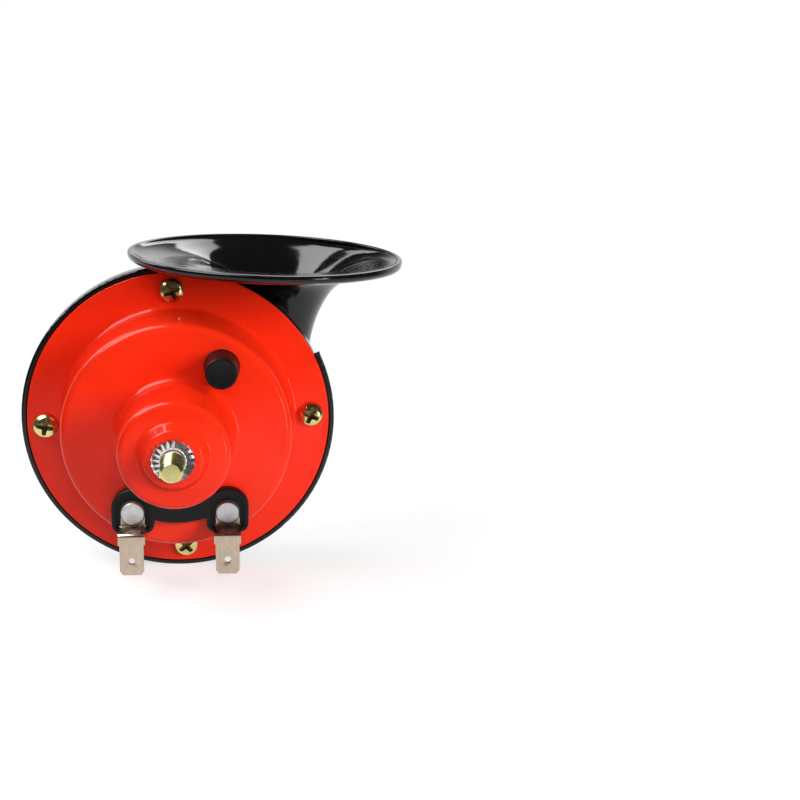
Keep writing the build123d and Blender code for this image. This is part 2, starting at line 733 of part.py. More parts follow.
# ---------------------------------------------------------------- pitch adjuster
def make_adjuster_bush():
    """Threaded bush staked through the cover."""
    bore = ADJUSTER_R + PRESS_CLEARANCE
    flange_back = DRUM_INSIDE_Y + ADJUSTER_BUSH_FLANGE
    bush = rod(ADJUSTER_BUSH_R, DRUM_Y - ADJUSTER_BUSH_RISE, flange_back)
    bush += rod(ADJUSTER_BUSH_FLANGE_R, DRUM_INSIDE_Y, flange_back)
    bush -= rod(bore, DRUM_Y - ADJUSTER_BUSH_RISE - 1, flange_back + 1)
    return Pos(ADJUSTER_X, 0, ADJUSTER_Z) * bush


def make_adjusting_screw():
    """Set screw that bears on the fixed contact strip, slotted at its outer end."""
    front = DRUM_Y - ADJUSTER_RISE
    screw = rod(ADJUSTER_R, front, STRIP_Y)
    slot = ADJUSTER_SLOT_WIDTH / 2
    screw -= slab(-ADJUSTER_R, ADJUSTER_R, front - 1, front + ADJUSTER_SLOT_DEPTH, -slot, slot)
    return Pos(ADJUSTER_X, 0, ADJUSTER_Z) * screw


def make_adjuster_cap():
    """Soft cap, slightly tapered, that grips the bush and covers the screw."""
    front = DRUM_Y - CAP_HEIGHT
    bore = ADJUSTER_BUSH_R + PRESS_CLEARANCE
    outside = FilletPolyline(
        (0, front),
        (CAP_TOP_R, front),
        (CAP_FOOT_R, DRUM_Y),
        (bore, DRUM_Y),
        radius=[CAP_EDGE, CAP_FOOT_EDGE],
    )
    inside = Polyline((bore, DRUM_Y), (bore, DRUM_Y - CAP_BORE), (0, DRUM_Y - CAP_BORE), (0, front))
    return Pos(ADJUSTER_X, 0, ADJUSTER_Z) * spin(Curve() + [outside, inside])


# ---------------------------------------------------------------- contact breaker
BREAKER_LOW_Z = BREAKER_Z - BREAKER_WIDTH / 2
BREAKER_HIGH_Z = BREAKER_Z + BREAKER_WIDTH / 2
BLOCK_RIGHT_X = BREAKER_LEFT_X + BREAKER_BLOCK
BLOCK_MIDDLE_X = BREAKER_LEFT_X + BREAKER_BLOCK / 2 + BRACKET_SHEET / 2


def breaker_drilled(strip):
    """Drill the two rivet holes of the breaker stack."""
    for side in (-1, 1):
        x = BLOCK_MIDDLE_X + side * BREAKER_RIVET_PITCH / 2
        strip -= rod(BREAKER_RIVET_R + PRESS_CLEARANCE, DRUM_Y, PLATE_Y, x, BREAKER_Z)
    return strip


def breaker_slab(right, front, back):
    """One layer of the breaker stack, from its left end to right."""
    return slab(BREAKER_LEFT_X, right, front, back, BREAKER_LOW_Z, BREAKER_HIGH_Z)


def make_bracket():
    """Z-shaped bracket welded inside the cover; it carries the breaker stack."""
    table_front = DRUM_INSIDE_Y + BRACKET_RISE
    table_back = table_front + BRACKET_SHEET
    table = breaker_drilled(breaker_slab(BLOCK_RIGHT_X, table_front, table_back))
    low = BREAKER_LOW_Z
    high = BREAKER_HIGH_Z
    riser_right = BREAKER_LEFT_X + BRACKET_SHEET
    bracket = table + slab(BREAKER_LEFT_X, riser_right, DRUM_INSIDE_Y, table_back, low, high)
    foot_left = BREAKER_LEFT_X - BRACKET_FOOT
    foot_back = DRUM_INSIDE_Y + BRACKET_SHEET
    return bracket + slab(foot_left, riser_right, DRUM_INSIDE_Y, foot_back, low, high)


def make_fibres():
    """Three insulating leaves between the layers of the breaker stack."""
    fronts = [STRIP_Y - FIBRE, STRIP_Y + FIXED_STRIP, PIP_Y]
    backs = [STRIP_Y, SPRING_Y, PIP_Y + FIBRE]
    leaves = []
    for front, back in zip(fronts, backs):
        leaves.append(breaker_drilled(breaker_slab(BLOCK_RIGHT_X, front, back)))
    return Compound(children=leaves)


def make_fixed_strip():
    right = ADJUSTER_X + FIXED_STRIP_TAIL
    return breaker_drilled(breaker_slab(right, STRIP_Y, STRIP_Y + FIXED_STRIP))


def make_moving_spring():
    """Thin spring with the finger that the armature pushes."""
    right = BREAKER_LEFT_X + MOVING_STRIP_LENGTH
    spring = breaker_drilled(breaker_slab(right, SPRING_Y, PIP_Y))
    return spring + slab(right - FINGER_WIDTH, right, SPRING_Y, PIP_Y, FINGER_TIP_Z, BREAKER_LOW_Z)


def make_contacts():
    fixed = rod(CONTACT_R, STRIP_Y + FIXED_STRIP, SPRING_Y - CONTACT, CONTACT_X, BREAKER_Z)
    moving = rod(CONTACT_R, SPRING_Y - CONTACT, SPRING_Y, CONTACT_X, BREAKER_Z)
    return Compound(children=[fixed, moving])


def make_pusher_button():
    """Insulating button on the finger, just clear of the armature at rest."""
    x = BREAKER_LEFT_X + MOVING_STRIP_LENGTH - FINGER_WIDTH / 2
    return rod(PIP_R, PIP_Y, PIP_Y + PIP_LENGTH, x, PIP_Z)


def make_breaker_rivets():
    table_front = DRUM_INSIDE_Y + BRACKET_RISE
    stack_back = PIP_Y + FIBRE
    rivets = []
    for side in (-1, 1):
        x = BLOCK_MIDDLE_X + side * BREAKER_RIVET_PITCH / 2
        head_front = table_front - BREAKER_RIVET_HEAD
        rivet = rod(BREAKER_RIVET_HEAD_R, head_front, table_front, x, BREAKER_Z)
        rivet += rod(BREAKER_RIVET_R, table_front, stack_back, x, BREAKER_Z)
        tail_back = stack_back + BREAKER_RIVET_HEAD
        rivet += rod(BREAKER_RIVET_HEAD_R, stack_back, tail_back, x, BREAKER_Z)
        rivets.append(rivet)
    return Compound(children=rivets)


# ---------------------------------------------------------------- write the parts
PARTS = {
    "metal_cover": make_cover,
    "front_gasket": lambda: make_gasket(FRONT_GASKET_Y),
    "diaphragm": make_diaphragm,
    "rear_gasket": lambda: make_gasket(REAR_GASKET_Y),
    "throat_plate": make_throat_plate,
    "snail_housing": make_housing,
    "cover_screws": make_cover_screws,
    "mounting_stud": make_stud,
    "star_washer": make_star_washer,
    "coil_bobbin": make_bobbin,
    "coil_winding": make_winding,
    "bobbin_retainer": make_retainer,
    "armature": make_armature,
    "backing_washer": make_backing_washer,
    "terminal_insulator": make_terminal_insulator,
    "inner_insulator": make_inner_insulator,
    "terminal_left": lambda: make_terminal(-1),
    "terminal_right": lambda: make_terminal(1),
    "terminal_rivets": make_terminal_rivets,
    "adjuster_bush": make_adjuster_bush,
    "adjusting_screw": make_adjusting_screw,
    "adjuster_cap": make_adjuster_cap,
    "breaker_bracket": make_bracket,
    "breaker_fibres": make_fibres,
    "fixed_contact_strip": make_fixed_strip,
    "moving_contact_spring": make_moving_spring,
    "contact_points": make_contacts,
    "pusher_button": make_pusher_button,
    "breaker_rivets": make_breaker_rivets,
}

for name, make in PARTS.items():
    save(make(), name)
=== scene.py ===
import json
import logging
import math
from dataclasses import dataclass
from enum import Enum
from functools import cache
from typing import Any, Callable, Sequence

import bmesh
import bpy
from bmesh.types import BMesh, BMVert
from bpy.types import Material, Mesh, Node, NodeSocket, NodeTree, Object
from mathutils import Matrix, Vector


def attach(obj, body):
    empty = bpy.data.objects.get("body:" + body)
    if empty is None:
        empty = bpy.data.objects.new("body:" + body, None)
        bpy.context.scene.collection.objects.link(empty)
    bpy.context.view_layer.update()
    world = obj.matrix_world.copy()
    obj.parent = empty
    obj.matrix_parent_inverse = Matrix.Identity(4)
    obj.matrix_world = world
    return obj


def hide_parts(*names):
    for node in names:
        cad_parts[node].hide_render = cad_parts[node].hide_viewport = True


# An electric snail horn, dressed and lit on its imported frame.
# Metres; +Z is up, -Y points out of the cover along the stud.

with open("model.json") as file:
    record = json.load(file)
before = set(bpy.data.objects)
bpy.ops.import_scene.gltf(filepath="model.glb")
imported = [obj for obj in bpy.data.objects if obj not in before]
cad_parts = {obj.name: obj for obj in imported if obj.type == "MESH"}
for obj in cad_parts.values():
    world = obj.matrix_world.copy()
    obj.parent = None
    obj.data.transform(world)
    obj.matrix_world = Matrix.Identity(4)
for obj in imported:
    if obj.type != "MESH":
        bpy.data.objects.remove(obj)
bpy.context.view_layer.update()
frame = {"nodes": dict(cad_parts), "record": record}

MM = 0.001
TURN = 2 * math.pi
BODY = "root"
WELD = 1e-6
LOG = logging.getLogger("horn")

Pair = tuple[float, float]
Triple = tuple[float, float, float]
Inputs = dict[str | int, Any]


# ---- node trees
def worked(operation: str, flipped: bool = False) -> Callable[..., "Field"]:
    """Makes one operator of Field.

    Args:
        operation: The Math node's operation.
        flipped: Whether the other value comes first.

    Returns:
        The operator's method.
    """

    def method(self: "Field", *others: "Field | float") -> "Field":
        """Adds the Math node."""
        return self.graph.maths(operation, *((*others, self) if flipped else (self, *others)))

    return method


class Field:
    """A value that varies over a surface or a shape; arithmetic on it adds Math nodes."""

    __add__ = __radd__ = worked("ADD")
    __sub__ = worked("SUBTRACT")
    __rsub__ = worked("SUBTRACT", flipped=True)
    __mul__ = __rmul__ = worked("MULTIPLY")
    __truediv__ = worked("DIVIDE")
    __pow__ = worked("POWER")
    __gt__ = worked("GREATER_THAN")
    __lt__ = worked("LESS_THAN")
    __abs__ = worked("ABSOLUTE")
    low = worked("MINIMUM")
    high = worked("MAXIMUM")

    def __init__(self, graph: "Graph", socket: NodeSocket) -> None:
        """Wraps an output socket of the graph."""
        self.graph = graph
        self.socket = socket

    def ramp(self, start: float, end: float) -> "Field":
        """0 up to start, 1 from end, with a smooth rise between them."""
        inputs = {"Value": self, "From Min": start, "From Max": end}
        return self.graph.out("ShaderNodeMapRange", inputs, interpolation_type="SMOOTHSTEP")


class Graph:
    """A node tree that is being written."""

    def __init__(self, tree: NodeTree) -> None:
        """Takes the tree that the nodes go into."""
        self.tree = tree

    def add(self, kind: str, inputs: Inputs | None = None, **settings: Any) -> Node:
        """Adds one node.

        Args:
            kind: The node's type name.
            inputs: What each socket gets: a Field, a socket, or a plain value.
            settings: The node's properties, which are set first.

        Returns:
            The new node.
        """
        node = self.tree.nodes.new(kind)
        for name, value in settings.items():
            setattr(node, name, value)
        for name, value in (inputs or {}).items():
            self.feed(self._find(node.inputs, name), value)
        return node

    def out(self, kind: str, inputs: Inputs | None = None, **settings: Any) -> Field:
        """Adds one node and gives its first output."""
        return self.read(self.add(kind, inputs, **settings))

    def feed(self, socket: NodeSocket, value: Any) -> None:
        """Fills one input.

        Args:
            socket: The input socket.
            value: A Field or a socket to link to it, or a plain value to set on it.
        """
        if isinstance(value, Field):
            value = value.socket
        if isinstance(value, NodeSocket):
            self.tree.links.new(value, socket)
        elif socket.type == "RGBA" and len(value) == 3:
            socket.default_value = (*value, 1.0)
        else:
            socket.default_value = value

    def read(self, node: Node, name: str | int = 0) -> Field:
        """The node's output of that name or number, as a Field."""
        return Field(self, self._find(node.outputs, name))

    def maths(self, operation: str, *values: Field | float) -> Field:
        """Adds one Math node and gives its result."""
        return self.out("ShaderNodeMath", dict(enumerate(values)), operation=operation)

    @staticmethod
    def _find(sockets: Any, name: str | int) -> NodeSocket:
        """The socket of that number, identifier or name."""
        same = [socket for socket in sockets if socket.identifier == name]
        return same[0] if same else sockets[name]


class Shader(Graph):
    """The node tree of one material, written around a Principled shader."""

    def __init__(self, name: str) -> None:
        """Starts a material.

        Args:
            name: The material's name.
        """
        self.material = bpy.data.materials.new(name)
        self.material.use_nodes = True
        super().__init__(self.material.node_tree)
        self.tree.nodes.clear()
        self.surface = self.add("ShaderNodeBsdfPrincipled")
        self.end = self.add("ShaderNodeOutputMaterial", {"Surface": self.surface.outputs[0]})
        self.place = self.add("ShaderNodeTexCoord").outputs["Object"]
        parts = self.add("ShaderNodeSeparateXYZ", {0: self.place})
        self.x, self.y, self.z = (self.read(parts, axis) / MM for axis in range(3))

    def dress(self, **values: Any) -> None:
        """Sets sockets of the Principled shader.

        Args:
            values: What each socket gets; base_color stands for Base Color, and so on.
        """
        for name, value in values.items():
            socket = name.replace("_", " ").title().replace("Ior", "IOR")
            self.feed(self.surface.inputs[socket], value)

    def noise(
        self, size: float, detail: float, stretch: Triple = (1.0, 1.0, 1.0), distortion: float = 0.0
    ) -> Field:
        """Cloudy noise from 0 to 1.

        Args:
            size: Width of one cloud in millimetres.
            detail: Number of finer octaves.
            stretch: How much shorter the clouds are along each axis.
            distortion: How much the clouds swirl.

        Returns:
            The noise as a Field.
        """
        place = self.out("ShaderNodeVectorMath", {0: self.place, 1: stretch}, operation="MULTIPLY")
        inputs = {"Vector": place, "Scale": 1 / (size * MM), "Detail": detail}
        return self.out("ShaderNodeTexNoise", {**inputs, "Distortion": distortion})

    def cells(self, size: float) -> Field:
        """Distance to the nearest border between cells of that size in millimetres."""
        inputs = {"Vector": self.place, "Scale": 1 / (size * MM)}
        return self.out("ShaderNodeTexVoronoi", inputs, feature="DISTANCE_TO_EDGE")

    def blend(self, factor: Field, first: Any, second: Any) -> Field:
        """A colour that goes from first to second as the factor goes from 0 to 1."""
        inputs = {"Factor_Float": factor, "A_Color": first, "B_Color": second}
        return self.read(self.add("ShaderNodeMix", inputs, data_type="RGBA"), "Result_Color")

    def relief(self, height: Field, depth: float) -> Field:
        """A normal for relief of that depth in millimetres."""
        inputs = {"Height": height, "Distance": depth * MM}
        return self.out("ShaderNodeBump", inputs)


class Recipe(Graph):
    """A Geometry Nodes tree with named inputs, used once or more to make plain meshes."""

    def __init__(self, name: str, **kinds: str) -> None:
        """Starts a tree.

        Args:
            name: The tree's name.
            kinds: The type of each named input, such as Float, Int or Object.
        """
        super().__init__(bpy.data.node_groups.new(name, "GeometryNodeTree"))
        new = self.tree.interface.new_socket
        new("shape", in_out="OUTPUT", socket_type="NodeSocketGeometry")
        self.keys = {
            label: new(label, in_out="INPUT", socket_type=f"NodeSocket{kind}").identifier
            for label, kind in {"base": "Geometry", **kinds, "finish": "Material"}.items()
        }
        self.given = self.add("NodeGroupInput")

    def want(self, name: str) -> Field:
        """The named input as a Field."""
        return self.read(self.given, name)

    def corner(self, x: Field | float, y: Field | float, z: Field | float) -> Field:
        """A vector made of three values."""
        return self.out("ShaderNodeCombineXYZ", {0: x, 1: y, 2: z})

    def close(self, shape: Field) -> None:
        """Ends the tree: real geometry, with the finish on it.

        Args:
            shape: The geometry that the tree has made.
        """
        real = self.out("GeometryNodeRealizeInstances", {0: shape})
        inputs = {"Geometry": real, "Material": self.want("finish")}
        self.add("NodeGroupOutput", {0: self.out("GeometryNodeSetMaterial", inputs)})

    def make(self, base: Mesh, finish: Material, **values: Any) -> Mesh:
        """Runs the tree.

        Args:
            base: The mesh that goes in as the base.
            finish: The material of the result.
            values: A value for each named input.

        Returns:
            A plain mesh.
        """
        carrier = placed("carrier", base)
        modifier = carrier.modifiers.new("recipe", "NODES")
        modifier.node_group = self.tree
        for name, value in {**values, "finish": finish}.items():
            modifier[self.keys[name]] = value
        depsgraph = bpy.context.evaluated_depsgraph_get()
        shape = carrier.evaluated_get(depsgraph)
        mesh = bpy.data.meshes.new_from_object(shape, depsgraph=depsgraph)
        carrier.modifiers.remove(modifier)
        bpy.data.objects.remove(carrier)
        return mesh


# ---- mesh helpers
def placed(name: str, data: Any) -> Object:
    """Puts a mesh, a lamp or the camera into the scene.

    Args:
        name: The new object's name.
        data: What the object holds.

    Returns:
        The new object.
    """
    piece = bpy.data.objects.new(name, data)
    bpy.context.scene.collection.objects.link(piece)
    return piece


def finished(work: BMesh, name: str) -> Mesh:
    """Ends the work on a shape.

    Args:
        work: The worked shape, which is used up.
        name: The mesh's name.

    Returns:
        The shape as a mesh.
    """
    mesh = bpy.data.meshes.new(name)
    work.to_mesh(mesh)
    work.free()
    return mesh


def smooth(mesh: Mesh, sharp: float) -> None:
    """Shades a mesh smooth, but for edges sharper than an angle in degrees."""
    mesh.shade_smooth()
    mesh.set_sharp_from_angle(angle=math.radians(sharp))


def tidy(mesh: Mesh, sharp: float = 32.0) -> Mesh:
    """Merges doubles, turns faces outwards and shades the mesh smooth up to an angle.

    Args:
        mesh: The mesh to tidy.
        sharp: Angle in degrees from which an edge stays sharp.

    Returns:
        The same mesh.
    """
    work = bmesh.new()
    work.from_mesh(mesh)
    bmesh.ops.remove_doubles(work, verts=work.verts, dist=WELD)
    bmesh.ops.dissolve_degenerate(work, edges=work.edges, dist=WELD)
    bmesh.ops.recalc_face_normals(work, faces=work.faces)
    work.to_mesh(mesh)
    work.free()
    smooth(mesh, sharp)
    return mesh


def circle(radius: float, count: int, centre: Pair = (0.0, 0.0)) -> list[Pair]:
    """Lays points round a centre, or one point where the radius is 0.

    Args:
        radius: The circle's radius.
        count: Number of points.
        centre: The circle's centre.

    Returns:
        The points.
    """
    angles = [TURN * step / count for step in range(count if radius > 0 else 1)]
    return [(centre[0] + radius * math.cos(a), centre[1] + radius * math.sin(a)) for a in angles]


def ring_at(work: BMesh, depth: float, points: Sequence[Pair]) -> list[BMVert]:
    """Adds points of (X, Z) in mm to a shape, all at one depth Y."""
    return [work.verts.new((x * MM, depth * MM, z * MM)) for x, z in points]


def bridge(work: BMesh, rings: Sequence[list[BMVert]]) -> None:
    """Joins each ring of points to the next one with faces.

    Args:
        work: The shape that is being worked.
        rings: The rings in order; a ring may be a single point.
    """
    for here, there in zip(rings, rings[1:]):
        count = max(len(here), len(there))
        for step in range(count):
            after = (step + 1) % count
            corners = [here[step % len(here)], here[after % len(here)]]
            corners += [there[after % len(there)], there[step % len(there)]]
            work.faces.new(list(dict.fromkeys(corners)))


def lathe(outline: Sequence[Pair], segments: int, centre: Pair = (0.0, 0.0)) -> Mesh:
    """Turns an open outline about a line along Y, closed at its poles.

    Args:
        outline: Points of (radius, depth) in mm; the first and last have radius 0.
        segments: Number of faces around.
        centre: X and Z of the line, in mm.

    Returns:
        A closed mesh in metres.
    """
    work = bmesh.new()
    bridge(work, [ring_at(work, depth, circle(r, segments, centre)) for r, depth in outline])
    return tidy(finished(work, "turned"))


def rounded(outline: Sequence[Pair], radii: Sequence[float], steps: int = 8) -> list[Pair]:
    """Rounds the inner corners of an open outline with arcs.

    Args:
        outline: The corner points.
        radii: One radius for each corner but the first and the last; 0 keeps it sharp.
        steps: Number of pieces in each arc.

    Returns:
        The points of the rounded outline.
    """
    points = [Vector(p) for p in outline]
    result = [tuple(points[0])]
    for before, corner, after, radius in zip(points, points[1:], points[2:], radii):
        back = (before - corner).normalized()
        onward = (after - corner).normalized()
        half = back.angle(onward) / 2
        if radius <= 0:
            result.append(tuple(corner))
            continue
        reach = radius / math.tan(half)
        middle = corner + (back + onward).normalized() * radius / math.sin(half)
        start = corner + back * reach - middle
        turn = start.angle_signed(corner + onward * reach - middle)
        for step in range(steps + 1):
            spoke = start.copy()
            spoke.rotate(Matrix.Rotation(-turn * step / steps, 2))
            result.append(tuple(middle + spoke))
    result.append(tuple(points[-1]))
    return result


def joined(first: Mesh, second: Mesh, name: str) -> Mesh:
    """Puts two meshes into one.

    Args:
        first: A mesh, whose material stays.
        second: The other mesh.
        name: The new mesh's name.

    Returns:
        The new mesh.
    """
    work = bmesh.new()
    work.from_mesh(first)
    work.from_mesh(second)
    whole = finished(work, name)
    for material in first.materials:
        whole.materials.append(material)
    smooth(whole, 32)
    return whole


# ---- finishes
def dyed(colour: Triple, share: float) -> Triple:
    """The colour with each part multiplied by the share."""
    return tuple(part * share for part in colour)


@dataclass(frozen=True)
class Finish:
    """A surface finish, and the record's slot that it belongs to."""

    title: str
    slot: str

    def write(self, shader: Shader) -> None:
        """Writes the finish's nodes."""
        raise NotImplementedError

    @cache
    def material(self) -> Material:
        """Gives the finish's material, which is made at its first use.

        Returns:
            The material.
        """
        shader = Shader(self.title)
        self.write(shader)
        return shader.material


@dataclass(frozen=True)
class Enamel(Finish):
    """Sprayed and baked gloss paint, with the slight orange peel that spraying leaves."""

    colour: Triple = (0.95, 0.029, 0.006)
    deep: Triple = (0.85, 0.018, 0.003)
    peel: float = 0.004

    def write(self, shader: Shader) -> None:
        """Writes colour, peel and a clear top layer.

        Args:
            shader: The material's tree.
        """
        waves = shader.noise(1.7, 2)
        specks = shader.noise(0.22, 2)
        cloud = shader.noise(14, 3).ramp(0.35, 0.75)
        shader.dress(
            base_color=shader.blend(cloud * 0.55, self.colour, self.deep),
            roughness=0.30 + specks * 0.12,
            specular_ior_level=0.03,
            coat_weight=0.46 + waves * 0.16,
            coat_roughness=0.05,
            coat_ior=1.38,
            normal=shader.relief(waves + specks * 0.15, self.peel),
        )


@dataclass(frozen=True)
class Moulding(Finish):
    """Hard black plastic from a polished mould."""

    colour: Triple = (0.0040, 0.0040, 0.0045)
    polish: float = 0.09
    grain: float = 0.0016

    def polished(self, shader: Shader) -> tuple[Field, Field, Field]:
        """Mixes the polished surface with its faint flow marks and handling haze.

        Args:
            shader: The material's tree.

        Returns:
            Colour, roughness and the height of the flow marks.
        """
        flow = shader.noise(9, 3, distortion=0.6)
        haze = shader.noise(3.5, 4).ramp(0.45, 0.85)
        fine = shader.noise(0.16, 2)
        colour = shader.blend(haze * 0.5, self.colour, dyed(self.colour, 1.7))
        return colour, self.polish + haze * 0.07 + fine * 0.03, flow * 2.0 + fine

    def write(self, shader: Shader) -> None:
        """Writes the polished surface.

        Args:
            shader: The material's tree.
        """
        colour, roughness, marks = self.polished(shader)
        shader.dress(
            base_color=colour,
            roughness=roughness,
            ior=1.45,
            specular_ior_level=0.4,
            normal=shader.relief(marks, self.grain),
        )


@dataclass(frozen=True)
class PanelledMoulding(Moulding):
    """The polished moulding, with a leather-like grain on the floor of its back panel."""

    floor: float = 54.0
    low: Pair = (-26.0, -18.0)
    high: Pair = (10.0, 28.5)
    panel: Triple = (0.055, 0.055, 0.058)
    fleck: Triple = (0.125, 0.125, 0.130)

    def write(self, shader: Shader) -> None:
        """Writes the polish and the grain, and picks one by the panel's place.

        Args:
            shader: The material's tree.
        """
        colour, roughness, marks = self.polished(shader)
        level = abs(shader.y - self.floor) < 0.06
        across = (shader.x > self.low[0]) * (shader.x < self.high[0])
        along = (shader.z > self.low[1]) * (shader.z < self.high[1])
        inside = level * across * along
        outside = 1 - inside
        pores = shader.cells(0.62).ramp(0.0, 0.22)
        crumple = shader.noise(0.8, 6)
        leather = pores * 0.6 + crumple
        grained = shader.blend((crumple * pores).ramp(0.35, 0.75), self.panel, self.fleck)
        shader.dress(
            base_color=shader.blend(inside, colour, grained),
            roughness=outside * roughness + inside * 0.55,
            ior=1.45,
            specular_ior_level=0.4,
            normal=shader.relief(marks * outside * self.grain + leather * inside * 0.09, 1.0),
        )


@dataclass(frozen=True)
class DullPlastic(Finish):
    """Dull black plastic or rubber with a fine even grain."""

    colour: Triple = (0.0065, 0.0065, 0.0070)
    roughness: float = 0.42
    grain: float = 0.008
    size: float = 0.12

    def write(self, shader: Shader) -> None:
        """Writes the grain and the slight bloom that such plastic has.

        Args:
            shader: The material's tree.
        """
        grain = shader.noise(self.size, 3)
        bloom = shader.noise(2.4, 3).ramp(0.4, 0.8)
        shader.dress(
            base_color=shader.blend(bloom * 0.6, self.colour, dyed(self.colour, 2.2)),
            roughness=self.roughness + bloom * 0.12,
            specular_ior_level=0.2,
            normal=shader.relief(grain, self.grain),
        )


class Lay(Enum):
    """The direction of the fine lines that work leaves on metal."""

    NONE = (1.0, 1.0, 1.0)
    UPRIGHT = (1.0, 1.0, 0.03)
    LEVEL = (0.03, 1.0, 1.0)
    TURNED = (1.0, 40.0, 1.0)


@dataclass(frozen=True)
class Metal(Finish):
    """Plated or bare metal: three tints that cloud into each other, fine work lines and painted
    shade.
    """

    colour: Triple
    cast: Triple
    stain: Triple
    roughness: float = 0.28
    lay: Lay = Lay.NONE
    line: float = 0.10
    groove: float = 0.003
    cloud: float = 1.6
    stained: float = 0.55
    streaked: float = 0.0
    # Painted shade: this dark colour is laid into screw recesses and round rivet heads, where shade
    # falls.
    shade_paint: Triple = (0.030, 0.018, 0.008)
    shade_at: tuple[Pair, ...] = ()
    shade_r: Pair = (3.1, 3.6)

    def painted_shade(self, shader: Shader) -> Field:
        """Finds the painted shade: that of the piece's shade layer, and a ring round set places.

        Args:
            shader: The material's tree.

        Returns:
            How dark the painted shade is at each place, from 0 to 1.
        """
        # Painted shade in recesses, read from the mesh's layer (the screws' cross recesses).
        layer = shader.add("ShaderNodeAttribute", attribute_name="shade_paint")
        painted_shade = shader.read(layer, "Fac").ramp(0.05, 0.6) * 0.85
        # Painted shade in a ring just outside each rivet head, where the head shades the blade.
        for x, z in self.shade_at:
            away = ((shader.x - x) ** 2.0 + (shader.z - z) ** 2.0) ** 0.5
            painted_shade = painted_shade.high((1 - away.ramp(*self.shade_r)) * 0.8)
        return painted_shade

    def write(self, shader: Shader) -> None:
        """Writes tints, lines, roughness and painted shade.

        Args:
            shader: The material's tree.
        """
        lines = shader.noise(self.line, 3, stretch=self.lay.value)
        clouds = shader.noise(self.cloud, 3, distortion=0.8).ramp(0.35, 0.65)
        spots = shader.noise(self.cloud * 0.45, 4).ramp(0.58, 0.78)
        painted_shade = self.painted_shade(shader)
        tinted = shader.blend(clouds, self.colour, self.cast)
        marks = (spots * self.stained).high(lines.ramp(0.4, 0.7) * self.streaked)
        worn = shader.blend(marks, tinted, self.stain)
        shader.dress(
            # The painted shade darkens the colour and also adds roughness.
            base_color=shader.blend(painted_shade, worn, self.shade_paint),
            metallic=1.0,
            roughness=self.roughness + lines * 0.12 + spots * 0.08 + painted_shade * 0.25,
            normal=shader.relief(lines, self.groove),
        )


@dataclass(frozen=True)
class Board(Finish):
    """Fibre, paper or nylon: a dull body with specks and short fibres."""

    colour: Triple
    fibre: Triple
    roughness: float

    def write(self, shader: Shader) -> None:
        """Writes body colour, fibres and their relief.

        Args:
            shader: The material's tree.
        """
        fibres = shader.noise(0.25, 4, stretch=(1.0, 1.0, 0.25), distortion=0.4)
        shader.dress(
            base_color=shader.blend(fibres.ramp(0.35, 0.7), self.colour, self.fibre),
            roughness=self.roughness + fibres * 0.1,
            normal=shader.relief(fibres, 0.01),
        )


@dataclass(frozen=True)
class CopperWire(Finish):
    """Enamelled copper wire wound in even turns along Y."""

    colour: Triple = (0.42, 0.11, 0.035)
    wire: float = 0.55

    def write(self, shader: Shader) -> None:
        """Writes one round ridge for each turn of wire, with painted shade in the grooves between
        turns.

        Args:
            shader: The material's tree.
        """
        phase = shader.maths("FRACT", shader.y / self.wire)
        ridge = 1 - abs(phase * 2.0 - 1.0) ** 2.0
        sheen = shader.noise(0.6, 3, stretch=(1.0, 3.0, 1.0))
        shader.dress(
            # Painted shade: the colour drops to a quarter in the grooves between turns.
            base_color=shader.blend(ridge, dyed(self.colour, 0.25), self.colour),
            metallic=0.75,
            roughness=0.22 + sheen * 0.15,
            normal=shader.relief(ridge, 0.2),
        )


ENAMEL = Enamel("baked_red", "red_enamel")
POLISHED = Moulding("polished_black", "black_plastic")
SNAIL = PanelledMoulding("polished_black_with_panel", "black_plastic")
DULL = DullPlastic("dull_black", "matt_black_plastic")
RUBBER = DullPlastic("moulded_rubber", "black_rubber", (0.0055,) * 3, 0.34, 0.012, 0.2)
GOLD_ZINC = Metal(
    "passivated_zinc", "yellow_zinc",
    (0.74, 0.58, 0.22), (0.52, 0.60, 0.27), (0.60, 0.33, 0.21),
    0.15, cloud=1.3, stained=0.35,
)
BRIGHT_ZINC = Metal(
    "polished_zinc", "bright_zinc", (0.74, 0.75, 0.76), (0.60, 0.62, 0.65), (0.45,) * 3, 0.22
)
NICKEL = Metal(
    "brushed_nickel", "nickel_plate",
    (0.53, 0.44, 0.34), (0.49, 0.40, 0.31), (0.40, 0.33, 0.26),
    0.22, Lay.UPRIGHT, 0.28, 0.008, stained=0.3, streaked=0.6,
    # Painted shade round the two rivet heads, at their centres.
    shade_at=((-11.9, -20.3), (13.3, -20.3)),
)
TINNED = Metal(
    "tinned_rivet", "satin_rivet",
    (0.64, 0.63, 0.65), (0.58, 0.58, 0.61), (0.46, 0.45, 0.47), 0.36,
)
SPRING_STEEL = Metal(
    "blued_spring", "spring_steel",
    (0.50, 0.52, 0.56), (0.42, 0.45, 0.52), (0.30, 0.28, 0.30), 0.3,
)
BRASS = Metal("turned_brass", "brass", (0.80, 0.60, 0.27), (0.72, 0.54, 0.25), (0.50, 0.36, 0.18))
BRONZE = Metal(
    "rolled_bronze", "spring_bronze",
    (0.72, 0.47, 0.26), (0.65, 0.42, 0.25), (0.40, 0.25, 0.16), lay=Lay.LEVEL,
)
TUNGSTEN = Metal(
    "contact_tungsten", "tungsten",
    (0.45, 0.45, 0.46), (0.40, 0.40, 0.42), (0.25, 0.25, 0.26), 0.4, Lay.TURNED,
)
COPPER = CopperWire("wound_copper", "enamelled_copper")
FIBRE = Board("pressed_fibre", "fibre_board", (0.35, 0.22, 0.13), (0.50, 0.36, 0.24), 0.7)
PAPER = Board("oiled_paper", "gasket_paper", (0.05, 0.045, 0.04), (0.10, 0.09, 0.075), 0.8)
